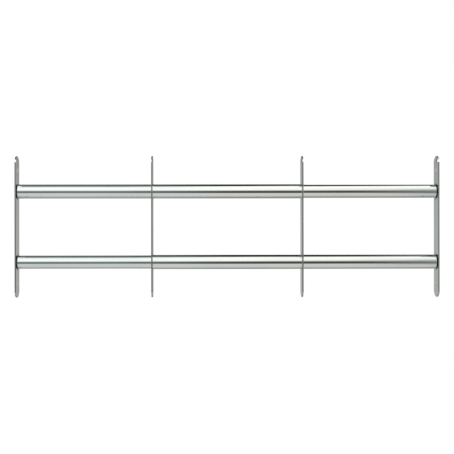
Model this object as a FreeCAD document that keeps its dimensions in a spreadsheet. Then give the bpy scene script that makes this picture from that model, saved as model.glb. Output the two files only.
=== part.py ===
"""Extendable window security bar, a grille of two telescopic tubes and four flat bars.

Millimetres. +X runs along the tubes, +Z is up and -Y faces the room, so the bars' notched edges
are at -Y. The origin is the centre of the grille's box at the width that it is set to.

The grille is two alike halves, one turned half round against the other. Each half has an end bar,
which is screwed to the side of the window opening, an outer tube that ends in a middle bar, and an
inner tube. The inner tube of one half slides in the outer tube of the other, and the middle bar of
one half slides on the outer tube of the other.

In a half's own frame +X points from its end bar towards the other half. The left half stands as it
is, and the right half is turned by 180 degrees about Z.
"""
import FreeCAD
import Part
import os

import Sketcher

# Driving dimensions: alias, value, what it is
DIMENSIONS = [
    ("set_width", 896.5, "overall width that the grille is set to"),
    ("closed_width", 700.0, "overall width with the tubes pushed fully together"),
    ("bar_height", 300.0, "flat bars, along Z"),
    ("bar_depth", 40.0, "flat bars, along Y"),
    ("bar_thickness", 3.0, "flat bars, along X"),
    ("bar_end_rise", 11.4, "how far the middle of a bar's rounded end stands above its corners"),
    ("bar_corner_radius", 2.0, "corners between a bar's sides and its rounded ends"),
    ("bar_edge_break", 0.4, "chamfered edges of the flat bars"),
    ("middle_bar_pitch", 606.0, "end bar to the middle bar of the same half, centre to centre"),
    ("notch_height", 6.0, "hook notch, along Z"),
    ("notch_depth", 19.0, "hook notch, from the front edge to its round end"),
    ("notch_drop", 10.7, "top of the bar to the middle of the notch"),
    ("screw_inset", 30.0, "end of an end bar to its screw hole"),
    ("screw_hole_diameter", 6.5, "through hole for a wall screw"),
    ("screw_head_diameter", 11.0, "countersink for its head, on the inner face"),
    ("tube_inset", 75.0, "end of a bar to the axis of the next tube"),
    ("outer_tube_diameter", 30.0, "outside"),
    ("outer_tube_wall", 0.8, "wall"),
    ("inner_tube_wall", 1.5, "wall"),
    ("slide_clearance", 0.2, "between the inner tube and the outer tube's bore, each side"),
    ("bar_clearance", 0.4, "between an outer tube and the bar that slides on it, each side"),
    ("fixed_clearance", 0.05, "between fixed round pieces and their holes, each side"),
    ("roll_radius", 1.6, "rolled-in end of a tube, outside radius"),
    ("end_gap", 0.6, "end bar to the rolled end of a tube"),
    ("neck_diameter", 16.0, "neck of a tube stud, which passes through the end bar"),
    ("rivet_head_diameter", 20.0, "flush riveted head of a tube stud"),
    ("stud_length", 18.0, "tube stud, inside its tube"),
    ("stud_bore_diameter", 10.0, "blind bore in the inner end of a tube stud"),
    ("stud_bore_depth", 10.0, "blind bore in the inner end of a tube stud"),
    ("weld_size", 1.5, "ring weld between an outer tube's mouth and its middle bar"),
    ("plug_length", 14.0, "guide plug, inside its tube"),
    ("plug_wall", 1.8, "guide plug, wall of its hollow stem"),
    ("plug_head_thickness", 2.0, "guide plug, rim that runs in the outer tube"),
    ("plug_edge", 0.6, "chamfer round the guide plug's head"),
    ("closing_play", 4.2, "guide plug to the far stud with the grille fully closed"),
]

# Sizes that follow from them
DERIVED = [
    ("inner_tube_diameter", "outer_tube_diameter - 2 * outer_tube_wall - 2 * slide_clearance"),
    ("outer_tube_length", "middle_bar_pitch - end_gap"),
    ("inner_tube_length", "closed_width - 2 * bar_thickness - 2 * end_gap - stud_length"
                          " - plug_head_thickness - closing_play"),
    ("end_bar_x", "(set_width - bar_thickness) / 2"),
    ("tube_start", "bar_thickness / 2 + end_gap"),
    ("tube_z", "bar_height / 2 - tube_inset"),
    ("screw_z", "bar_height / 2 - screw_inset"),
    ("notch_z", "bar_height / 2 - notch_drop"),
]

LEFT_HALF = {
    "end_bar": "left_end_bar",
    "middle_bar": "right_middle_bar",
    "outer": "upper_outer_tube",
    "inner": "lower_inner_tube",
    "direction": 1,
    "outer_level": 1,
}
RIGHT_HALF = {
    "end_bar": "right_end_bar",
    "middle_bar": "left_middle_bar",
    "outer": "lower_outer_tube",
    "inner": "upper_inner_tube",
    "direction": -1,
    "outer_level": -1,
}

LEAST_CUT = 1e-3
SAME_PLACE = 1e-6

document = FreeCAD.newDocument("window_security_bar")


# ---------------------------------------------------------------- the sheet

def make_sheet():
    """Put every size in one spreadsheet, a row each: name, value, meaning."""
    sheet = document.addObject("Spreadsheet::Sheet", "Sizes")
    row = 1
    for alias, value, meaning in DIMENSIONS:
        sheet.set(f"A{row}", alias)
        sheet.set(f"B{row}", str(value))
        sheet.setAlias(f"B{row}", alias)
        sheet.set(f"C{row}", meaning)
        row += 1
    for alias, formula in DERIVED:
        sheet.set(f"A{row}", alias)
        sheet.set(f"B{row}", "=" + formula)
        sheet.setAlias(f"B{row}", alias)
        row += 1
    document.recompute()
    return sheet


sheet = make_sheet()
NAMES = sorted([entry[0] for entry in DIMENSIONS + DERIVED], key=len, reverse=True)


def bound(formula):
    """Return a formula with every size in it read from the sheet."""
    words = formula.replace("(", " ( ").replace(")", " ) ").split()
    return " ".join("Sizes." + word if word in NAMES else word for word in words)


def value_of(formula):
    """Return what a formula is worth now."""
    return float(sheet.evalExpression(bound(formula)))


# ---------------------------------------------------------------- building blocks

def new_body(label):
    """Start a sub-part."""
    body = document.addObject("PartDesign::Body", label)
    body.Label = label
    return body


def place(body, half, distance, level="0"):
    """Stand a sub-part in its half: distance from the end bar's middle, and height."""
    turn = 0 if half["direction"] > 0 else 180
    body.Placement = FreeCAD.Placement(
        FreeCAD.Vector(0, 0, 0), FreeCAD.Rotation(FreeCAD.Vector(0, 0, 1), turn))
    side = f"{half['direction']} * ( {distance} - end_bar_x )"
    body.setExpression("Placement.Base.x", bound(side))
    body.setExpression("Placement.Base.z", bound(level))


def new_sketch(body, name, plane_role, offset="0"):
    """Attach a sketch to one of the body's own origin planes, at an offset along its normal."""
    sketch = body.newObject("Sketcher::SketchObject", f"{body.Label}_{name}")
    plane = next(item for item in body.Origin.OriginFeatures if item.Role == plane_role)
    sketch.AttachmentSupport = [(plane, "")]
    sketch.MapMode = "FlatFace"
    sketch.setExpression("AttachmentOffset.Base.z", bound(offset))
    return sketch


def pin_point(sketch, edge, point, where):
    """Hold one point of an edge at a place that the sheet gives."""
    for kind, formula in zip(("DistanceX", "DistanceY"), where):
        index = sketch.addConstraint(Sketcher.Constraint(kind, edge, point, value_of(formula)))
        sketch.setExpression(f"Constraints[{index}]", bound(formula))


def vector(where):
    """Turn a pair of formulas into a point of a sketch."""
    return FreeCAD.Vector(value_of(where[0]), value_of(where[1]), 0)


def draw_outline(sketch, corners, arcs=None):
    """Draw a closed outline through corners.

    arcs gives, for the stretch that starts at a corner's number, the arc's centre and whether it
    turns anticlockwise. Every other stretch is a straight line. An arc's centre and first end fix
    its radius, so only one coordinate of its last end is held as well.
    """
    arcs = arcs or {}
    for number, start in enumerate(corners):
        finish = corners[(number + 1) % len(corners)]
        if number not in arcs:
            edge = sketch.addGeometry(Part.LineSegment(vector(start), vector(finish)))
            pin_point(sketch, edge, 1, start)
            pin_point(sketch, edge, 2, finish)
            continue
        centre, anticlockwise = arcs[number]
        first, last = (start, finish) if anticlockwise else (finish, start)
        middle = vector(centre)
        spoke_a = vector(first) - middle
        spoke_b = vector(last) - middle
        angle_a = FreeCAD.Vector(1, 0, 0).getAngle(spoke_a) * (1 if spoke_a.y >= 0 else -1)
        angle_b = FreeCAD.Vector(1, 0, 0).getAngle(spoke_b) * (1 if spoke_b.y >= 0 else -1)
        circle = Part.Circle(middle, FreeCAD.Vector(0, 0, 1), spoke_a.Length)
        edge = sketch.addGeometry(Part.ArcOfCircle(circle, angle_a, angle_b))
        pin_point(sketch, edge, 3, centre)
        pin_point(sketch, edge, 1, first)
        upright = abs(spoke_b.y) > abs(spoke_b.x)
        kind, formula = ("DistanceX", last[0]) if upright else ("DistanceY", last[1])
        index = sketch.addConstraint(Sketcher.Constraint(kind, edge, 2, value_of(formula)))
        sketch.setExpression(f"Constraints[{index}]", bound(formula))


def draw_circles(sketch, centres, diameter):
    """Draw one circle of the same diameter at each centre."""
    for centre in centres:
        circle = Part.Circle(vector(centre), FreeCAD.Vector(0, 0, 1), value_of(diameter) / 2)
        edge = sketch.addGeometry(circle)
        pin_point(sketch, edge, 3, centre)
        index = sketch.addConstraint(
            Sketcher.Constraint("Diameter", edge, value_of(diameter)))
        sketch.setExpression(f"Constraints[{index}]", bound(diameter))


def volume(body):
    """Recompute and return the body's volume."""
    document.recompute()
    return body.Shape.Volume


def must_cut(body, before, name):
    """Stop if a cut took nothing away."""
    if volume(body) >= before - LEAST_CUT:
        raise RuntimeError(f"{body.Label}: {name} cuts nothing")


def turn_outline(body, name, corners, arcs=None):
    """Revolve a half outline, drawn in X and Z, about the body's X axis."""
    sketch = new_sketch(body, name, "XZ_Plane")
    draw_outline(sketch, corners, arcs)
    document.recompute()
    revolution = body.newObject("PartDesign::Revolution", f"{body.Label}_{name}_turned")
    revolution.Profile = sketch
    revolution.ReferenceAxis = (sketch, ["H_Axis"])
    revolution.Angle = 360
    body.Tip = revolution
    document.recompute()


def cut_through(body, name, draw):
    """Cut a shape, drawn in Y and Z, right through the body along X."""
    before = volume(body)
    sketch = new_sketch(body, name, "YZ_Plane")
    draw(sketch)
    document.recompute()
    pocket = body.newObject("PartDesign::Pocket", f"{body.Label}_{name}_cut")
    pocket.Profile = sketch
    pocket.Type = "ThroughAll"
    pocket.SideType = "Symmetric"
    body.Tip = pocket
    must_cut(body, before, name)


def countersunk_holes(body, name, centres, diameter, wide_diameter, inner_face):
    """Drill countersunk holes through a bar from its inner face (+X) or its outer face (-X)."""
    before = volume(body)
    offset = "bar_thickness / 2" if inner_face else "-1 * bar_thickness / 2"
    sketch = new_sketch(body, name, "YZ_Plane", offset)
    draw_circles(sketch, centres, diameter)
    document.recompute()
    hole = body.newObject("PartDesign::Hole", f"{body.Label}_{name}_drilled")
    hole.Profile = sketch
    document.recompute()
    hole.ThreadType = "None"
    hole.setExpression("Diameter", bound(diameter))
    hole.DepthType = "ThroughAll"
    hole.HoleCutType = "Countersink"
    hole.HoleCutCustomValues = True
    hole.setExpression("HoleCutDiameter", bound(wide_diameter))
    hole.HoleCutCountersinkAngle = 90
    hole.Reversed = not inner_face
    body.Tip = hole
    must_cut(body, before, name)


def numbered(edges):
    """Pair each edge with the name that a feature knows it by."""
    return [(f"Edge{number}", edge) for number, edge in enumerate(edges, start=1)]


def lies_flat(edge):
    """Say whether an edge of a bar lies in one of its two faces."""
    return abs(edge.Vertexes[0].X - edge.Vertexes[-1].X) < SAME_PLACE


# ---------------------------------------------------------------- flat bars

def flat_plate(label, half):
    """Make a bar's plate: flat steel with rounded ends and a hook notch near its top."""
    body = new_body(label)
    sketch = new_sketch(body, "plate", "YZ_Plane")
    end_radius = "( bar_depth * bar_depth / 4 + bar_end_rise * bar_end_rise )" \
                 " / ( 2 * bar_end_rise )"
    low_corner = "bar_end_rise - bar_height / 2"
    high_corner = "bar_height / 2 - bar_end_rise"
    low_centre = f"{end_radius} - bar_height / 2"
    high_centre = f"bar_height / 2 - {end_radius}"
    corners = [
        ("-1 * bar_depth / 2", low_corner),
        ("bar_depth / 2", low_corner),
        ("bar_depth / 2", high_corner),
        ("-1 * bar_depth / 2", high_corner),
    ]
    arcs = {
        0: (("0", low_centre), True),
        2: (("0", high_centre), True),
    }
    draw_outline(sketch, corners, arcs)
    document.recompute()
    pad = body.newObject("PartDesign::Pad", f"{label}_plate_pad")
    pad.Profile = sketch
    pad.SideType = "Symmetric"
    pad.setExpression("Length", bound("bar_thickness"))
    document.recompute()

    corners = [edge for edge in numbered(pad.Shape.Edges) if not lies_flat(edge[1])]
    fillet = body.newObject("PartDesign::Fillet", f"{label}_corners")
    fillet.Base = (pad, [name for name, edge in corners])
    fillet.setExpression("Radius", bound("bar_corner_radius"))
    document.recompute()

    rims = [edge for edge in numbered(fillet.Shape.Edges) if lies_flat(edge[1])]
    chamfer = body.newObject("PartDesign::Chamfer", f"{label}_rims")
    chamfer.Base = (fillet, [name for name, edge in rims])
    chamfer.setExpression("Size", bound("bar_edge_break"))
    body.Tip = chamfer
    document.recompute()

    front = -half["direction"]
    cut_through(body, "notch", lambda sketch: draw_notch(sketch, front))
    return body


def draw_notch(sketch, front):
    """Draw the hook notch: in from the front edge, with a round end."""
    past_edge = f"{front} * bar_depth"
    round_centre = f"{front} * ( bar_depth / 2 - notch_depth + notch_height / 2 )"
    low = "notch_z - notch_height / 2"
    high = "notch_z + notch_height / 2"
    corners = [
        (past_edge, low),
        (round_centre, low),
        (round_centre, high),
        (past_edge, high),
    ]
    draw_outline(sketch, corners, {1: ((round_centre, "notch_z"), front < 0)})


def end_bar(half):
    """Make the bar that is screwed to the wall, with both tube studs riveted into it."""
    body = flat_plate(half["end_bar"], half)
    screws = [("0", "screw_z"), ("0", "-1 * screw_z")]
    countersunk_holes(
        body, "screw_holes", screws, "screw_hole_diameter", "screw_head_diameter", True)
    studs = [("0", "tube_z"), ("0", "-1 * tube_z")]
    countersunk_holes(
        body, "stud_holes", studs, "neck_diameter + 2 * fixed_clearance",
        "rivet_head_diameter", False)
    place(body, half, "0")
    return body


def middle_bar(half):
    """Make the bar at the outer tube's mouth, which slides on the other half's outer tube."""
    body = flat_plate(half["middle_bar"], half)
    level = half["outer_level"]
    mouth = [("0", f"{level} * tube_z")]
    countersunk_holes(
        body, "mouth_hole", mouth, "outer_tube_diameter + 2 * fixed_clearance",
        "outer_tube_diameter + 2 * weld_size", True)
    passage = [("0", f"{-level} * tube_z")]
    cut_through(
        body, "sliding_hole", lambda sketch: draw_circles(
            sketch, passage, "outer_tube_diameter + 2 * bar_clearance"))
    place(body, half, "middle_bar_pitch")
    return body


# ---------------------------------------------------------------- tubes and what is in them

def tube(half, kind, level):
    """Make a tube with its end rolled in towards the stud's neck. The other end is open."""
    body = new_body(half[kind])
    radius = f"{kind}_tube_diameter / 2"
    wall = f"{kind}_tube_wall"
    length = f"{kind}_tube_length"
    lip = "neck_diameter / 2 + fixed_clearance"
    corners = [
        ("0", lip),
        ("0", f"{radius} - roll_radius"),
        ("roll_radius", radius),
        (length, radius),
        (length, f"{radius} - {wall}"),
        ("roll_radius", f"{radius} - {wall}"),
        (wall, f"{radius} - roll_radius"),
        (wall, lip),
    ]
    roll_centre = ("roll_radius", f"{radius} - roll_radius")
    turn_outline(body, "wall", corners, {1: (roll_centre, False), 5: (roll_centre, True)})
    place(body, half, "tube_start", level)
    return body


def tube_stud(half, kind, level):
    """Make the shouldered stud that a tube's end is rolled over, riveted flush into the bar."""
    body = new_body(f"{half[kind]}_stud")
    bore = f"{kind}_tube_diameter / 2 - {kind}_tube_wall"
    wall = f"{kind}_tube_wall"
    neck = "neck_diameter / 2"
    outer_face = "-1 * end_gap - bar_thickness"
    head_depth = "rivet_head_diameter / 2 - neck_diameter / 2 - fixed_clearance"
    drill = "stud_bore_diameter / 2"
    drill_end = "stud_length - stud_bore_depth"
    shoulder = f"{kind}_tube_diameter / 2 - roll_radius"
    corners = [
        (outer_face, "0"),
        (outer_face, "rivet_head_diameter / 2"),
        (f"{outer_face} + {head_depth}", f"{neck} + fixed_clearance"),
        (f"{outer_face} + {head_depth}", neck),
        (wall, neck),
        (wall, shoulder),
        ("roll_radius", bore),
        ("stud_length", bore),
        ("stud_length", drill),
        (drill_end, drill),
        (drill_end, "0"),
    ]
    turn_outline(body, "stud", corners, {5: (("roll_radius", shoulder), False)})
    place(body, half, "tube_start", level)
    return body


def guide_plug(half, level):
    """Make the plastic plug in the inner tube's open end, whose rim runs in the outer tube."""
    body = new_body(f"{half['inner']}_plug")
    rim = "inner_tube_diameter / 2"
    stem = "inner_tube_diameter / 2 - inner_tube_wall"
    hollow = f"{stem} - plug_wall"
    corners = [
        ("-1 * plug_length", hollow),
        ("-1 * plug_length", stem),
        ("0", stem),
        ("0", rim),
        ("plug_head_thickness - plug_edge", rim),
        ("plug_head_thickness", f"{rim} - plug_edge"),
        ("plug_head_thickness", "0"),
        ("0", "0"),
        ("0", hollow),
    ]
    turn_outline(body, "plug", corners)
    place(body, half, "tube_start + inner_tube_length", level)
    return body


def mouth_weld(half, level):
    """Make the ring weld that fills the middle bar's countersink round the tube's mouth."""
    body = new_body(f"{half['outer']}_weld")
    radius = "outer_tube_diameter / 2"
    corners = [
        ("-1 * weld_size", radius),
        ("0", f"{radius} + weld_size"),
        ("0", radius),
    ]
    turn_outline(body, "bead", corners)
    place(body, half, "tube_start + outer_tube_length", level)
    return body


def build_half(half):
    """Make one half of the grille and return its sub-parts."""
    outer_z = f"{half['outer_level']} * tube_z"
    inner_z = f"{-half['outer_level']} * tube_z"
    return [
        end_bar(half),
        middle_bar(half),
        tube(half, "outer", outer_z),
        tube(half, "inner", inner_z),
        tube_stud(half, "outer", outer_z),
        tube_stud(half, "inner", inner_z),
        guide_plug(half, inner_z),
        mouth_weld(half, outer_z),
    ]


# ---------------------------------------------------------------- check and write

def check_document(sub_parts):
    """Stop if anything failed to compute or a sub-part isn't one valid solid."""
    document.recompute()
    for item in document.Objects:
        if "Invalid" in item.State or "Error" in item.State:
            raise RuntimeError(f"{item.Label} did not compute")
    for body in sub_parts:
        shape = body.Shape
        if shape.isNull() or not shape.isValid() or len(shape.Solids) != 1:
            raise RuntimeError(f"{body.Label} is not one valid solid")


def write_parts(sub_parts):
    """Write one STEP file for each sub-part, named by its label."""
    os.makedirs("parts", exist_ok=True)
    for body in sub_parts:
        body.Shape.exportStep(os.path.join("parts", f"{body.Label}.step"))


sub_parts = build_half(LEFT_HALF) + build_half(RIGHT_HALF)
check_document(sub_parts)
write_parts(sub_parts)
for body in sub_parts:
    box = body.Shape.BoundBox
    print(f"{body.Label}: x {box.XMin:.2f} to {box.XMax:.2f}, z {box.ZMin:.2f} to {box.ZMax:.2f},"
          f" volume {body.Shape.Volume:.0f}")
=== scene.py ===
"""Looks of the extendable window security bar: zinc-plated tubes and flat bars in a white studio."""
import math

import bmesh
import bpy
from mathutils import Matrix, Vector
from mathutils.geometry import tessellate_polygon


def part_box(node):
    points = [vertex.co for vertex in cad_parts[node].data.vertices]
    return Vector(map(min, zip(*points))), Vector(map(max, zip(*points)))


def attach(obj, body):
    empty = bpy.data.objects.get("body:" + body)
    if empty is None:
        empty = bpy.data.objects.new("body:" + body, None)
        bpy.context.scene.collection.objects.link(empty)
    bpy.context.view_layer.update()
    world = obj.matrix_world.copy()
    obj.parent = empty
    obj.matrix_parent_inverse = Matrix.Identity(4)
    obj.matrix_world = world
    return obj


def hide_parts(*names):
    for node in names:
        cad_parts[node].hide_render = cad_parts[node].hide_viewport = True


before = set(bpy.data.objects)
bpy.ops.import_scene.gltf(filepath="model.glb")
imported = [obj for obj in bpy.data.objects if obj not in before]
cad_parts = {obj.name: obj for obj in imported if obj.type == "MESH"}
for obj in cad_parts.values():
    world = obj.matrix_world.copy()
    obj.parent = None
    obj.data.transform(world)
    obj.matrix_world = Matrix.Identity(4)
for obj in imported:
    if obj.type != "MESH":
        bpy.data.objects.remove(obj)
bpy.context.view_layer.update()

MM = 0.001


# ---------------------------------------------------------------- measures of the CAD nodes

def outside_radius(node):
    """Return half the height of a round CAD node."""
    low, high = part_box(node)
    return (high.z - low.z) / 2


def length_of(node):
    """Return the length of a CAD node along X."""
    low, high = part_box(node)
    return high.x - low.x


def axis_point(node, half):
    """Return the point on a round CAD node's axis at its end nearest its own end bar."""
    low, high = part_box(node)
    x = low.x if half["direction"] > 0 else high.x
    return Vector((x, (low.y + high.y) / 2, (low.z + high.z) / 2))


# ---------------------------------------------------------------- sizes, in metres

bar_low, bar_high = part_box("left_end_bar")
BAR_THICKNESS = bar_high.x - bar_low.x
BAR_DEPTH = bar_high.y - bar_low.y
BAR_HEIGHT = 300 * MM
BAR_END_RISE = 11.4 * MM
BAR_CORNER_RADIUS = 2.0 * MM
BAR_EDGE_RADIUS = 0.4 * MM

NOTCH_HEIGHT = 6.0 * MM
NOTCH_DEPTH = 19.0 * MM
NOTCH_DROP = 10.7 * MM

SCREW_Z = BAR_HEIGHT / 2 - 30 * MM
SCREW_RADIUS = 3.25 * MM
SCREW_HEAD_RADIUS = 5.5 * MM

# A sliding hole's broken edge widens it by this share of the edge radius of the bar itself. The
# edges of a countersunk hole are smaller, and have sizes of their own.
HOLE_EDGE_SHARE = 0.6
COUNTERSINK_EDGE = 0.15 * MM
COUNTERSINK_EDGE_DEPTH = 0.4 * COUNTERSINK_EDGE

TUBE_Z = BAR_HEIGHT / 2 - 75 * MM
TUBE_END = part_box("upper_inner_tube")[1].x
OUTER_RADIUS = outside_radius("upper_outer_tube")
OUTER_WALL = 0.8 * MM
INNER_RADIUS = outside_radius("upper_inner_tube")
INNER_WALL = 1.5 * MM
TUBE_SIZES = {
    "outer": (OUTER_RADIUS, OUTER_WALL),
    "inner": (INNER_RADIUS, INNER_WALL),
}
ROLL_RADIUS = 1.6 * MM
MOUTH_EDGE = 0.25 * MM
STRAIGHT_RING = 0.3 * MM

NECK_RADIUS = 8.0 * MM
RIVET_RADIUS = 10.0 * MM
BAR_CLEARANCE = 0.4 * MM
FIXED_CLEARANCE = 0.05 * MM
WELD_SIZE = 1.5 * MM

LEFT_HALF = {
    "body": "left_half",
    "direction": 1,
    "end_bar": "left_end_bar",
    "middle_bar": "right_middle_bar",
    "outer": "upper_outer_tube",
    "inner": "lower_inner_tube",
    "outer_level": 1,
}
RIGHT_HALF = {
    "body": "right_half",
    "direction": -1,
    "end_bar": "right_end_bar",
    "middle_bar": "left_middle_bar",
    "outer": "lower_outer_tube",
    "inner": "upper_inner_tube",
    "outer_level": -1,
}

# How finely round shapes are divided
RING_POINTS = 128
HOLE_POINTS = 96
EDGE_STEPS = 4
BAR_END_STEPS = 40
NOTCH_STEPS = 16
ROLL_STEPS = 12
INNER_ROLL_STEPS = 8
TUBE_STATIONS = 24

# Points closer than this become one, and edges sharper than this stay sharp. A face looks along X
# if its normal's X part is over the last value.
MERGE_DISTANCE = 1e-7
SMOOTH_ANGLE = math.radians(28)
FACES_ALONG_X = 0.9999


# ---------------------------------------------------------------- node helpers

# The grey values that a noise texture mostly keeps to
NOISE_LOW = 0.3
NOISE_HIGH = 0.7


def new_material(name, metallic=0.0):
    """Start a material, and return it with its node tree and its shader."""
    material = bpy.data.materials.new(name)
    material.use_nodes = True
    tree = material.node_tree
    shader = tree.nodes["Principled BSDF"]
    shader.inputs["Metallic"].default_value = metallic
    return material, tree, shader


def set_input(tree, socket, value):
    """Give an input its value, which is a constant or another node's socket."""
    if isinstance(value, bpy.types.NodeSocket):
        tree.links.new(value, socket)
    else:
        socket.default_value = value


def coordinates(tree, kind):
    """Return the X, Y and Z sockets of one kind of texture coordinate."""
    place = tree.nodes.new("ShaderNodeTexCoord")
    split = tree.nodes.new("ShaderNodeSeparateXYZ")
    tree.links.new(place.outputs[kind], split.inputs[0])
    return split.outputs


def noise(tree, repeats, detail, roughness):
    """Return the grey value of a noise that repeats so often per metre along X, Y and Z."""
    place = tree.nodes.new("ShaderNodeTexCoord")
    mapping = tree.nodes.new("ShaderNodeMapping")
    mapping.inputs["Scale"].default_value = repeats
    tree.links.new(place.outputs["Object"], mapping.inputs["Vector"])
    node = tree.nodes.new("ShaderNodeTexNoise")
    node.inputs["Scale"].default_value = 1.0
    node.inputs["Detail"].default_value = detail
    node.inputs["Roughness"].default_value = roughness
    tree.links.new(mapping.outputs["Vector"], node.inputs["Vector"])
    return node.outputs["Fac"]


def spread(tree, value, low, high, from_low=NOISE_LOW, from_high=NOISE_HIGH):
    """Map a value between two limits to a range from low to high."""
    node = tree.nodes.new("ShaderNodeMapRange")
    node.inputs["From Min"].default_value = from_low
    node.inputs["From Max"].default_value = from_high
    node.inputs["To Min"].default_value = low
    node.inputs["To Max"].default_value = high
    tree.links.new(value, node.inputs["Value"])
    return node.outputs["Result"]


def ramp(tree, value, stops):
    """Return a colour that follows a value through stops of (position, colour)."""
    node = tree.nodes.new("ShaderNodeValToRGB")
    elements = node.color_ramp.elements
    while len(elements) > 1:
        elements.remove(elements[-1])
    for number, (position, colour) in enumerate(stops):
        element = elements[0] if number == 0 else elements.new(position)
        element.position = position
        element.color = (*colour, 1.0)
    tree.links.new(value, node.inputs["Fac"])
    return node.outputs["Color"]


def mix_colours(tree, factor, first, second):
    """Mix two colours by a factor. Each is a constant or a socket."""
    node = tree.nodes.new("ShaderNodeMix")
    node.data_type = "RGBA"
    # The node has more sockets of the same names, so its colour ones go by number
    set_input(tree, node.inputs[0], factor)
    set_input(tree, node.inputs[6], first)
    set_input(tree, node.inputs[7], second)
    return node.outputs[2]


def math_node(tree, operation, *values):
    """Return the result of a calculation on sockets or numbers."""
    node = tree.nodes.new("ShaderNodeMath")
    node.operation = operation
    for socket, value in zip(node.inputs, values):
        set_input(tree, socket, value)
    return node.outputs[0]


def add_bump(tree, shader, heights):
    """Chain bumps onto the shader: a list of (grey value, strength, distance in metres)."""
    normal = None
    for height, strength, distance in heights:
        bump = tree.nodes.new("ShaderNodeBump")
        bump.inputs["Strength"].default_value = strength
        bump.inputs["Distance"].default_value = distance
        tree.links.new(height, bump.inputs["Height"])
        if normal is not None:
            tree.links.new(normal, bump.inputs["Normal"])
        normal = bump.outputs["Normal"]
    tree.links.new(normal, shader.inputs["Normal"])


def tube_distance(tree):
    """Return how far a point lies from the axis of the nearer tube."""
    own = coordinates(tree, "Object")
    above = math_node(tree, "SUBTRACT", math_node(tree, "ABSOLUTE", own["Z"]), TUBE_Z)
    square = math_node(tree, "ADD", math_node(tree, "MULTIPLY", above, above),
                       math_node(tree, "MULTIPLY", own["Y"], own["Y"]))
    return math_node(tree, "SQRT", square)


def distance_out(tree):
    """Return how far a point lies from the grille's middle along the tubes."""
    return math_node(tree, "ABSOLUTE", coordinates(tree, "Object")["X"])


# ---------------------------------------------------------------- materials

# Painted shade: near-black colour is painted over a tube's last stretch and over a ring round it on
# the end bar's inner face. It stands in for the shade in the crevice between tube and bar. The ring
# also blackens the walls of the middle bars' tube holes. These are the distances from the grille's
# middle, or from the tube's axis, between which it sets in or fades out.
PAINTED_SHADE = (0.008, 0.008, 0.008, 1)
TUBE_SHADE_START = (TUBE_END - 1.4 * MM, TUBE_END - 1.0 * MM)
BAR_SHADE_END = (TUBE_END + 1.0 * MM, TUBE_END + 1.6 * MM)
BAR_SHADE_RIM = (16.5 * MM, 17.2 * MM)

# How squarely a bar's surface looks along X: below the first it is an edge, above the second a face
EDGE_TO_FACE = (0.35, 0.85)
EDGE_DULLNESS = 0.08


def tube_zinc():
    """Bright zinc plate on drawn tube: near mirror, with faint draw lines and cloudy plating."""
    material, tree, shader = new_material("tube_zinc", metallic=1.0)
    clouds = noise(tree, (6, 30, 30), 5.0, 0.6)
    colour = ramp(tree, clouds, [
        (0.30, (0.760, 0.772, 0.770)),
        (0.55, (0.815, 0.820, 0.812)),
        (0.75, (0.850, 0.852, 0.842)),
    ])
    specks = noise(tree, (700, 700, 700), 2.0, 0.5)
    dull = ramp(tree, specks, [(0.70, (0, 0, 0)), (0.78, (1, 1, 1))])
    colour = mix_colours(tree, math_node(tree, "MULTIPLY", dull, 0.12), colour,
                         (0.60, 0.61, 0.60, 1))
    # Painted shade: the tube's last stretch at its end bar turns near black, standing in for the
    # shade in the crevice
    painted_shade = spread(tree, distance_out(tree), 0, 1, *TUBE_SHADE_START)
    colour = mix_colours(tree, painted_shade, colour, PAINTED_SHADE)
    tree.links.new(colour, shader.inputs["Base Color"])

    draw_lines = noise(tree, (3, 900, 900), 3.0, 0.6)
    shine = spread(tree, clouds, 0.05, 0.09)
    rough = math_node(tree, "ADD", shine, spread(tree, draw_lines, -0.01, 0.02))
    tree.links.new(rough, shader.inputs["Roughness"])
    waves = noise(tree, (9, 25, 25), 2.0, 0.5)
    add_bump(tree, shader, [(waves, 0.12, 0.00010), (draw_lines, 0.05, 0.00002)])
    return material


def bar_zinc():
    """Zinc plate on flat steel: fairly bright on the rolled faces, duller on the sheared edges."""
    material, tree, shader = new_material("bar_zinc", metallic=1.0)
    clouds = noise(tree, (40, 40, 9), 6.0, 0.62)
    face = ramp(tree, clouds, [
        (0.30, (0.765, 0.748, 0.725)),
        (0.50, (0.800, 0.783, 0.760)),
        (0.72, (0.835, 0.818, 0.795)),
    ])
    pits = noise(tree, (420, 420, 420), 3.0, 0.6)
    dull = ramp(tree, pits, [(0.62, (0, 0, 0)), (0.74, (1, 1, 1))])
    face = mix_colours(tree, math_node(tree, "MULTIPLY", dull, 0.15), face,
                       (0.50, 0.51, 0.50, 1))
    shear = noise(tree, (900, 60, 25), 4.0, 0.6)
    edge = ramp(tree, shear, [
        (0.30, (0.435, 0.427, 0.414)),
        (0.70, (0.520, 0.510, 0.494)),
    ])

    squarely = math_node(tree, "ABSOLUTE", coordinates(tree, "Normal")["X"])
    on_edge = spread(tree, squarely, 1, 0, *EDGE_TO_FACE)
    # Painted shade: a near-black ring round each tube on the end bar's inner face and on bar
    # surfaces this close to a tube's axis, standing in for the shade between tube and bar
    near_tube = spread(tree, tube_distance(tree), 1, 0, *BAR_SHADE_RIM)
    inside = spread(tree, distance_out(tree), 1, 0, *BAR_SHADE_END)
    painted_shade = math_node(tree, "MULTIPLY", near_tube, inside)
    colour = mix_colours(tree, on_edge, face, edge)
    colour = mix_colours(tree, painted_shade, colour, PAINTED_SHADE)
    tree.links.new(colour, shader.inputs["Base Color"])

    rolling = noise(tree, (600, 600, 12), 4.0, 0.6)
    shine = math_node(tree, "ADD", spread(tree, clouds, 0.07, 0.11),
                      spread(tree, rolling, -0.01, 0.03))
    dullness = math_node(tree, "MULTIPLY", on_edge, EDGE_DULLNESS)
    tree.links.new(math_node(tree, "ADD", shine, dullness), shader.inputs["Roughness"])
    add_bump(tree, shader, [(rolling, 0.12, 0.00004), (pits, 0.06, 0.00003)])
    return material


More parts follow.
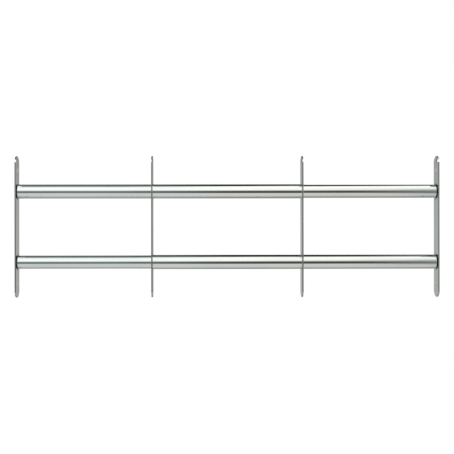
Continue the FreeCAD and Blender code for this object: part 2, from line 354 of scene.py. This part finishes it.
def stud_zinc():
    """Zinc plate on turned and riveted steel: satin, with fine turning marks and hammer dimples."""
    material, tree, shader = new_material("stud_zinc", metallic=1.0)
    clouds = noise(tree, (160, 160, 160), 5.0, 0.6)
    colour = ramp(tree, clouds, [
        (0.30, (0.560, 0.570, 0.565)),
        (0.70, (0.680, 0.685, 0.675)),
    ])
    tree.links.new(colour, shader.inputs["Base Color"])
    turning = noise(tree, (2500, 60, 60), 2.0, 0.5)
    rough = math_node(tree, "ADD", spread(tree, clouds, 0.24, 0.36),
                      spread(tree, turning, -0.02, 0.05))
    tree.links.new(rough, shader.inputs["Roughness"])
    dimples = noise(tree, (480, 480, 480), 1.0, 0.4)
    add_bump(tree, shader, [(turning, 0.15, 0.00004), (dimples, 0.35, 0.00010)])
    return material


def weld_zinc():
    """Plated weld bead: duller than the tubes, with a faint heat tint and spatter grain."""
    material, tree, shader = new_material("weld_zinc", metallic=1.0)
    clouds = noise(tree, (300, 300, 300), 5.0, 0.65)
    colour = ramp(tree, clouds, [
        (0.30, (0.430, 0.425, 0.410)),
        (0.55, (0.540, 0.540, 0.530)),
        (0.75, (0.620, 0.625, 0.620)),
    ])
    tree.links.new(colour, shader.inputs["Base Color"])
    tree.links.new(spread(tree, clouds, 0.30, 0.48), shader.inputs["Roughness"])
    grain = noise(tree, (1500, 1500, 1500), 3.0, 0.6)
    add_bump(tree, shader, [(grain, 0.25, 0.00008)])
    return material


def plug_plastic():
    """Black polyethylene with a fine moulded grain."""
    material, tree, shader = new_material("plug_plastic")
    grain = noise(tree, (900, 900, 900), 3.0, 0.6)
    colour = ramp(tree, grain, [
        (0.30, (0.020, 0.020, 0.021)),
        (0.70, (0.036, 0.036, 0.037)),
    ])
    tree.links.new(colour, shader.inputs["Base Color"])
    tree.links.new(spread(tree, grain, 0.42, 0.58), shader.inputs["Roughness"])
    add_bump(tree, shader, [(grain, 0.15, 0.00005)])
    return material


MATERIALS = {
    "zinc_tube": tube_zinc(),
    "zinc_bar": bar_zinc(),
    "zinc_stud": stud_zinc(),
    "weld_metal": weld_zinc(),
    "guide_plastic": plug_plastic(),
}


# ---------------------------------------------------------------- mesh helpers

def clean_mesh(node, verts, faces):
    """Make a piece's mesh, with doubled points merged and all faces turned outwards."""
    mesh = bpy.data.meshes.new(node + "_look")
    mesh.from_pydata(verts, [], faces)
    grid = bmesh.new()
    grid.from_mesh(mesh)
    bmesh.ops.remove_doubles(grid, verts=grid.verts, dist=MERGE_DISTANCE)
    bmesh.ops.recalc_face_normals(grid, faces=grid.faces)
    grid.to_mesh(mesh)
    grid.free()
    return mesh


def keep_sides_flat(mesh):
    """Crease the borders of the faces that look along X, so that their shading stays flat."""
    grid = bmesh.new()
    grid.from_mesh(mesh)
    for edge in grid.edges:
        flat = [abs(face.normal.x) > FACES_ALONG_X for face in edge.link_faces]
        if any(flat) and not all(flat):
            edge.smooth = False
    grid.to_mesh(mesh)
    grid.free()


def finish_piece(mesh, node, body, slot):
    """Turn a mesh into the piece that stands for a CAD node and rides on its body."""
    mesh.shade_smooth()
    mesh.set_sharp_from_angle(angle=SMOOTH_ANGLE)
    keep_sides_flat(mesh)
    mesh.materials.append(MATERIALS[slot])
    piece = bpy.data.objects.new(node + "_look", mesh)
    bpy.context.scene.collection.objects.link(piece)
    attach(piece, body)
    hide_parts(node)


def arc(centre, radius, first, last, steps):
    """Return points along an arc, angles in degrees."""
    points = []
    for step in range(steps + 1):
        angle = math.radians(first + (last - first) * step / steps)
        points.append((centre[0] + radius * math.cos(angle),
                       centre[1] + radius * math.sin(angle)))
    return points


def lathe(node, half, slot, profile, wobble=None):
    """Build a piece by revolving a closed profile of (distance, radius) about its node's axis.

    Distance grows from the end nearest the half's own end bar. wobble may return another
    distance for a point, given its number in the profile, angle, distance and radius.
    """
    origin = axis_point(node, half)
    verts = []
    for number, (distance, radius) in enumerate(profile):
        for step in range(RING_POINTS):
            angle = 2 * math.pi * step / RING_POINTS
            along = distance if wobble is None else wobble(number, angle, distance, radius)
            verts.append((origin.x + half["direction"] * along,
                          origin.y + radius * math.cos(angle),
                          origin.z + radius * math.sin(angle)))
    faces = []
    rings = len(profile)
    for ring in range(rings):
        following = (ring + 1) % rings
        if profile[ring][1] == 0 and profile[following][1] == 0:
            continue
        for step in range(RING_POINTS):
            turn = (step + 1) % RING_POINTS
            faces.append((ring * RING_POINTS + step, ring * RING_POINTS + turn,
                          following * RING_POINTS + turn, following * RING_POINTS + step))
    finish_piece(clean_mesh(node, verts, faces), node, half["body"], slot)


# ---------------------------------------------------------------- flat bars

def bar_outline(inset):
    """Return a bar's outline in Y and Z, pulled in by inset, with the notch in the -Y edge."""
    half_depth = BAR_DEPTH / 2
    half_height = BAR_HEIGHT / 2
    end_radius = (half_depth ** 2 + BAR_END_RISE ** 2) / (2 * BAR_END_RISE)
    end_z = half_height - end_radius
    corner_y = half_depth - BAR_CORNER_RADIUS
    corner_rise = math.sqrt((end_radius - BAR_CORNER_RADIUS) ** 2 - corner_y ** 2)
    corner_z = end_z + corner_rise
    lean = math.degrees(math.atan2(corner_rise, corner_y))
    corner = BAR_CORNER_RADIUS - inset
    reach = end_radius - inset

    notch_z = half_height - NOTCH_DROP
    notch_half = NOTCH_HEIGHT / 2 + inset
    notch_end_y = NOTCH_DEPTH - half_depth - NOTCH_HEIGHT / 2
    lip_z = notch_z + notch_half
    lip_angle = 180 - math.degrees(math.asin((lip_z - end_z) / reach))

    points = []
    points += arc((-corner_y, -corner_z), corner, 180, 180 + lean, EDGE_STEPS)
    points += arc((0, -end_z), reach, 180 + lean, 360 - lean, BAR_END_STEPS)[1:-1]
    points += arc((corner_y, -corner_z), corner, 360 - lean, 360, EDGE_STEPS)
    points += arc((corner_y, corner_z), corner, 0, lean, EDGE_STEPS)
    points += arc((0, end_z), reach, lean, lip_angle, BAR_END_STEPS)[1:]
    points += arc((notch_end_y, notch_z), notch_half, 90, -90, NOTCH_STEPS)
    points += [(-half_depth + inset, notch_z - notch_half)]
    return points


def circle(centre_z, radius, points=HOLE_POINTS):
    """Return a clockwise circle about a point on the bar's middle line."""
    return arc((0, centre_z), radius, 360, 360 - 360 * (points - 1) / points, points - 1)


def edge_steps():
    """Return (inset, depth) pairs round a broken edge, from the face to the side."""
    pairs = []
    for step in range(EDGE_STEPS + 1):
        angle = math.pi / 2 * step / EDGE_STEPS
        pairs.append((BAR_EDGE_RADIUS * (1 - math.sin(angle)),
                      BAR_EDGE_RADIUS * (1 - math.cos(angle))))
    return pairs


def plain_wall(outline_at):
    """Return rings from the inner face (depth 0) to the outer face with both edges broken."""
    rings = []
    for inset, depth in edge_steps():
        rings.append((depth, outline_at(inset)))
    for inset, depth in reversed(edge_steps()):
        rings.append((BAR_THICKNESS - depth, outline_at(inset)))
    return rings


def round_hole(centre_z, radius):
    """Return rings of a plain hole with lightly broken edges."""
    return plain_wall(lambda inset: circle(centre_z, radius + inset * HOLE_EDGE_SHARE))


def countersunk_hole(centre_z, radius, wide_radius, from_inner_face, points=HOLE_POINTS):
    """Return rings of a hole with a 90 degree countersink in one face."""
    rings = [(depth, circle(centre_z, ring_radius, points)) for depth, ring_radius in (
        (0, wide_radius + COUNTERSINK_EDGE),
        (COUNTERSINK_EDGE_DEPTH, wide_radius),
        (wide_radius - radius, radius),
        (BAR_THICKNESS - COUNTERSINK_EDGE, radius),
        (BAR_THICKNESS, radius + COUNTERSINK_EDGE),
    )]
    if from_inner_face:
        return rings
    return [(BAR_THICKNESS - depth, ring) for depth, ring in reversed(rings)]


def bar_piece(node, half, holes):
    """Build a flat bar from its outline and its holes' rings."""
    low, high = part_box(node)
    inner_x = high.x if half["direction"] > 0 else low.x
    verts = []
    faces = []
    face_loops = {"inner": [], "outer": []}
    for rings in [plain_wall(bar_outline)] + holes:
        starts = []
        for depth, ring in rings:
            starts.append(len(verts))
            x = inner_x - half["direction"] * depth
            verts += [(x, y, z) for y, z in ring]
        count = len(rings[0][1])
        for here, there in zip(starts, starts[1:]):
            for step in range(count):
                turn = (step + 1) % count
                faces.append((here + step, here + turn, there + turn, there + step))
        face_loops["inner"].append(list(range(starts[0], starts[0] + count)))
        face_loops["outer"].append(list(range(starts[-1], starts[-1] + count)))
    for loops in face_loops.values():
        flat = [[Vector((verts[i][1], verts[i][2], 0)) for i in loop] for loop in loops]
        order = [i for loop in loops for i in loop]
        faces += [tuple(order[i] for i in triangle) for triangle in tessellate_polygon(flat)]
    finish_piece(clean_mesh(node, verts, faces), node, half["body"], "zinc_bar")


def end_bar(half):
    """Build the bar that goes on the wall."""
    holes = []
    for level in (1, -1):
        holes.append(countersunk_hole(level * SCREW_Z, SCREW_RADIUS, SCREW_HEAD_RADIUS, True))
        holes.append(countersunk_hole(level * TUBE_Z, NECK_RADIUS + FIXED_CLEARANCE,
                                      RIVET_RADIUS, False))
    bar_piece(half["end_bar"], half, holes)


def middle_bar(half):
    """Build the bar at an outer tube's mouth."""
    level = half["outer_level"]
    holes = [
        countersunk_hole(level * TUBE_Z, OUTER_RADIUS + FIXED_CLEARANCE,
                         OUTER_RADIUS + WELD_SIZE, True, RING_POINTS),
        round_hole(-level * TUBE_Z, OUTER_RADIUS + BAR_CLEARANCE),
    ]
    bar_piece(half["middle_bar"], half, holes)


# ---------------------------------------------------------------- round pieces

def tube(half, kind):
    """Build a tube with its end rolled in and its open mouth lightly broken."""
    node = half[kind]
    radius, wall = TUBE_SIZES[kind]
    bore = radius - wall
    length = length_of(node)
    lip = NECK_RADIUS + FIXED_CLEARANCE
    roll = (ROLL_RADIUS, radius - ROLL_RADIUS)
    straight = length - 2 * ROLL_RADIUS
    mouth = length - MOUTH_EDGE
    profile = [(0, lip)]
    profile += arc(roll, ROLL_RADIUS, 180, 90, ROLL_STEPS)
    profile += [(ROLL_RADIUS + STRAIGHT_RING, radius)]
    for station in range(1, TUBE_STATIONS):
        profile.append((ROLL_RADIUS + straight * station / TUBE_STATIONS, radius))
    profile += [(mouth - STRAIGHT_RING, radius)]
    profile += arc((mouth, radius - MOUTH_EDGE), MOUTH_EDGE, 90, 0, EDGE_STEPS)
    profile += arc((mouth, bore + MOUTH_EDGE), MOUTH_EDGE, 0, -90, EDGE_STEPS)
    profile += [(mouth - STRAIGHT_RING, bore), (ROLL_RADIUS + STRAIGHT_RING, bore)]
    profile += arc(roll, ROLL_RADIUS - wall, 90, 180, INNER_ROLL_STEPS)
    profile += [(wall, lip)]
    lathe(node, half, "zinc_tube", profile)


def stud(half, kind):
    """Build a tube stud: riveted head flush in the bar, neck, and shouldered body in the tube."""
    node = half[kind] + "_stud"
    radius, wall = TUBE_SIZES[kind]
    bore = radius - wall
    length = length_of(node)
    shoulder = radius - ROLL_RADIUS
    shoulder_steps = 6
    shoulder_x = abs(axis_point(half[kind], half).x - axis_point(node, half).x) + wall
    head_depth = RIVET_RADIUS - NECK_RADIUS - FIXED_CLEARANCE
    dish = 0.35 * MM
    rim = 0.02 * MM
    rim_fall = 0.10 * MM
    rim_width = 0.08 * MM
    end_edge = 0.3 * MM
    drill_radius = 5.0 * MM
    drill_depth = 10.0 * MM
    drill_end = length - drill_depth
    profile = [
        (dish, 0),
        (dish * 0.8, RIVET_RADIUS * 0.3),
        (dish * 0.25, RIVET_RADIUS * 0.55),
        (rim, RIVET_RADIUS * 0.72),
        (rim, RIVET_RADIUS * 0.9),
        (rim_fall, RIVET_RADIUS - rim_width),
        (head_depth, NECK_RADIUS),
        (shoulder_x, NECK_RADIUS),
        (shoulder_x, shoulder),
    ]
    profile += arc((shoulder_x + ROLL_RADIUS - wall, shoulder), ROLL_RADIUS - wall, 180, 90,
                   shoulder_steps)[1:]
    profile += [
        (length - end_edge, bore),
        (length, bore - end_edge),
        (length, drill_radius),
        (drill_end, drill_radius),
        (drill_end, 0),
    ]
    lathe(node, half, "zinc_stud", profile)


def ring_weld(half):
    """Build the ring weld at an outer tube's mouth: a low bead with overlapping ripples."""
    node = half["outer"] + "_weld"
    crown = 0.28 * MM
    crown_steps = 8
    ripples = 44
    ripple_height = 0.10 * MM
    ripple_lean = 1.6
    swells = 3
    swell_start = 1.0
    swell_share = 0.6
    profile = [(0, OUTER_RADIUS), (WELD_SIZE, OUTER_RADIUS + WELD_SIZE)]
    crown_first = len(profile)
    for step in range(1, crown_steps):
        share = step / crown_steps
        profile.append((WELD_SIZE + crown * math.sin(math.pi * share),
                        OUTER_RADIUS + WELD_SIZE * (1 - share)))
    profile.append((WELD_SIZE, OUTER_RADIUS))

    def wobble(number, angle, distance, radius):
        """Lift the crown in ripples that lean round the ring, in slow swells."""
        if number < crown_first or number == len(profile) - 1:
            return distance
        phase = angle * ripples + ripple_lean * (radius - OUTER_RADIUS) / WELD_SIZE
        swell = 0.5 + 0.5 * math.sin(angle * swells + swell_start)
        return distance + ripple_height * (math.sin(phase) - swell_share * swell)

    lathe(node, half, "weld_metal", profile, wobble)


def guide_plug(half):
    """Build the plastic plug in the inner tube's open end, with grip ribs on its stem."""
    node = half["inner"] + "_plug"
    length = length_of(node)
    wall = 1.8 * MM
    head = 2.0 * MM
    head_corner = 0.2 * MM
    head_corner_steps = 3
    head_edge = 0.6 * MM
    head_edge_steps = 5
    stem_length = length - head
    stem = INNER_RADIUS - INNER_WALL
    rib_height = 0.35 * MM
    valley = stem - rib_height
    ribs = 4
    pitch = stem_length / ribs
    # Shares of the pitch where a rib reaches its top, leaves it and meets the valleys
    rib_shape = [(0.35, stem), (0.60, stem), (0.70, valley), (0.98, valley)]
    profile = [(0, stem - wall), (0, valley)]
    for rib in range(ribs):
        profile += [(rib * pitch + pitch * share, radius) for share, radius in rib_shape]
    profile += [(stem_length, valley), (stem_length, INNER_RADIUS - head_corner)]
    profile += arc((stem_length + head_corner, INNER_RADIUS - head_corner), head_corner,
                   180, 90, head_corner_steps)[1:]
    profile += arc((length - head_edge, INNER_RADIUS - head_edge), head_edge,
                   90, 0, head_edge_steps)
    profile += [(length, 0), (stem_length, 0), (stem_length, stem - wall)]
    lathe(node, half, "guide_plastic", profile)


for half in (LEFT_HALF, RIGHT_HALF):
    end_bar(half)
    middle_bar(half)
    for kind in ("outer", "inner"):
        tube(half, kind)
        stud(half, kind)
    ring_weld(half)
    guide_plug(half)


# ---------------------------------------------------------------- studio

FLOOR_Z = -0.62
FLOOR_REACH = 2.4
FLOOR_POINTS = 96

# The camera's place from the grille's middle, and its turns in degrees
CAMERA_DISTANCE = 2.105
CAMERA_LEFT = 0.0572
CAMERA_ROLL = 0.073
CAMERA_YAW = -0.5

# The studio's brightness at elevations about the tubes' axis: 0 is the front, 90 overhead, 180
# behind and -90 below. It has a dark band at the camera's level, a soft box from the front to
# overhead, a dark band above the back and a pale floor, and they change slowly along the tubes.
LEFT_STUDIO = [
    (-180, 0.47), (-150, 0.46), (-120, 0.38), (-102, 0.54), (-86, 0.74), (-65, 0.70),
    (-47, 0.76), (-34, 0.70), (-27, 0.50), (-20, 0.16), (-2, 0.20), (5, 0.42), (15, 1.00),
    (23, 1.22), (66, 1.22), (76, 0.85), (90, 0.30), (98, 0.17), (160, 0.15), (172, 0.32),
    (180, 0.47),
]
CENTRE_STUDIO = [
    (-180, 0.43), (-150, 0.36), (-132, 0.20), (-118, 0.30), (-106, 0.54), (-90, 0.73),
    (-65, 0.68), (-47, 0.80), (-36, 0.72), (-29, 0.40), (-23, 0.06), (0, 0.08), (7, 0.34),
    (15, 0.85), (22, 1.22), (84, 1.22), (91, 0.80), (96, 0.04), (101, 0.0), (158, 0.0),
    (170, 0.25), (180, 0.43),
]
RIGHT_STUDIO = [
    (-180, 0.42), (-150, 0.36), (-130, 0.24), (-112, 0.44), (-90, 0.72), (-60, 0.68),
    (-37, 0.76), (-30, 0.44), (-23, 0.07), (-2, 0.06), (5, 0.18), (13, 0.46), (21, 0.80),
    (30, 1.06), (50, 1.12), (66, 1.22), (97, 1.22), (105, 0.25), (110, 0.02), (160, 0.02),
    (172, 0.25), (180, 0.42),
]
FAR_RIGHT_STUDIO = [
    (-180, 0.43), (-150, 0.37), (-124, 0.27), (-106, 0.42), (-88, 0.68), (-60, 0.66),
    (-40, 0.48), (-24, 0.19), (-5, 0.28), (12, 0.38), (30, 0.66), (48, 1.02), (66, 1.22),
    (104, 1.22), (113, 0.40), (120, 0.05), (158, 0.05), (172, 0.25), (180, 0.43),
]
# What the bars' faces see, well to the side and then straight along the tubes, is plainer
SIDE_STUDIO = [
    (-180, 0.50), (-120, 0.50), (-60, 0.70), (-30, 0.90), (30, 1.00), (90, 1.10), (120, 0.60),
    (180, 0.50),
]
END_STUDIO = [(-180, 0.62), (-90, 0.58), (0, 0.68), (90, 0.66), (180, 0.62)]

COOL = (0.93, 1.0, 0.975)
WARM = (0.985, 1.0, 0.96)
NEUTRAL = (0.965, 1.0, 0.97)

# Each studio with its tint and the X part of the directions that see it, from left to right
LOOKS = [
    (-0.88, END_STUDIO, NEUTRAL),
    (-0.60, SIDE_STUDIO, NEUTRAL),
    (-0.35, LEFT_STUDIO, COOL),
    (-0.08, LEFT_STUDIO, COOL),
    (0.03, CENTRE_STUDIO, WARM),
    (0.16, RIGHT_STUDIO, WARM),
    (0.24, FAR_RIGHT_STUDIO, NEUTRAL),
    (0.50, SIDE_STUDIO, NEUTRAL),
    (0.88, END_STUDIO, NEUTRAL),
]
BRIGHTEST = 1.25


def studio_look(tree, turn, levels, tint):
    """Return the colour of one studio, given its brightness round the tubes and its tint."""
    stops = [((degrees + 180) / 360, [level / BRIGHTEST * part for part in tint])
             for degrees, level in levels]
    return ramp(tree, turn, stops)


def background(tree, strength):
    """Add a white background of some strength."""
    node = tree.nodes.new("ShaderNodeBackground")
    node.inputs["Color"].default_value = (1, 1, 1, 1)
    node.inputs["Strength"].default_value = strength
    return node


def studio_world():
    """Light the grille from a studio of soft bands along the tubes. Seen directly it is white."""
    world = bpy.data.worlds.new("studio")
    bpy.context.scene.world = world
    world.use_nodes = True
    tree = world.node_tree
    tree.nodes.clear()
    direction = coordinates(tree, "Generated")
    front = math_node(tree, "MULTIPLY", direction["Y"], -1.0)
    angle = math_node(tree, "ARCTAN2", direction["Z"], front)
    turn = math_node(tree, "MULTIPLY_ADD", angle, 1 / (2 * math.pi), 0.5)

    last_slope, levels, tint = LOOKS[0]
    studio = studio_look(tree, turn, levels, tint)
    for slope, levels, tint in LOOKS[1:]:
        look = studio_look(tree, turn, levels, tint)
        share = spread(tree, direction["X"], 0, 1, last_slope, slope)
        studio = mix_colours(tree, share, studio, look)
        last_slope = slope
    studio_light = background(tree, BRIGHTEST)
    tree.links.new(studio, studio_light.inputs["Color"])

    paper = background(tree, 1.0)
    path = tree.nodes.new("ShaderNodeLightPath")
    choice = tree.nodes.new("ShaderNodeMixShader")
    output = tree.nodes.new("ShaderNodeOutputWorld")
    tree.links.new(path.outputs["Is Camera Ray"], choice.inputs[0])
    tree.links.new(studio_light.outputs[0], choice.inputs[1])
    tree.links.new(paper.outputs[0], choice.inputs[2])
    tree.links.new(choice.outputs[0], output.inputs["Surface"])


def floor():
    """Lay a plain pale round floor well below the grille. Reflections don't show it."""
    mesh = bpy.data.meshes.new("floor")
    rim = [(FLOOR_REACH * math.cos(2 * math.pi * step / FLOOR_POINTS),
            FLOOR_REACH * math.sin(2 * math.pi * step / FLOOR_POINTS), FLOOR_Z)
           for step in range(FLOOR_POINTS)]
    mesh.from_pydata(rim, [], [tuple(range(FLOOR_POINTS))])
    piece = bpy.data.objects.new("floor", mesh)
    bpy.context.scene.collection.objects.link(piece)
    material, _, shader = new_material("floor_paper")
    shader.inputs["Base Color"].default_value = (0.93, 0.93, 0.925, 1)
    shader.inputs["Roughness"].default_value = 0.9
    mesh.materials.append(material)
    piece.visible_glossy = False


def overhead_light():
    """Hang a soft light overhead, which makes the floor about as white as the background."""
    light = bpy.data.lights.new("overhead", "AREA")
    light.shape = "RECTANGLE"
    light.size = 3.0
    light.size_y = 2.0
    light.energy = 180
    lamp = bpy.data.objects.new("overhead", light)
    lamp.location = (0, -0.3, 2.2)
    lamp.visible_camera = False
    lamp.visible_glossy = False
    bpy.context.scene.collection.objects.link(lamp)


def camera():
    """Stand the camera level with the grille's middle, a little left of it, turned to the right."""
    data = bpy.data.cameras.new("camera")
    data.sensor_width = 36
    data.lens = 78.45
    data.shift_x = 0.0398
    data.shift_y = -0.0007
    piece = bpy.data.objects.new("camera", data)
    piece.location = (-CAMERA_LEFT, -CAMERA_DISTANCE, 0)
    piece.rotation_euler = [math.radians(angle) for angle in (90, CAMERA_ROLL, CAMERA_YAW)]
    bpy.context.scene.collection.objects.link(piece)
    bpy.context.scene.camera = piece


studio_world()
floor()
overhead_light()
camera()
bpy.context.scene.view_settings.view_transform = "Standard"
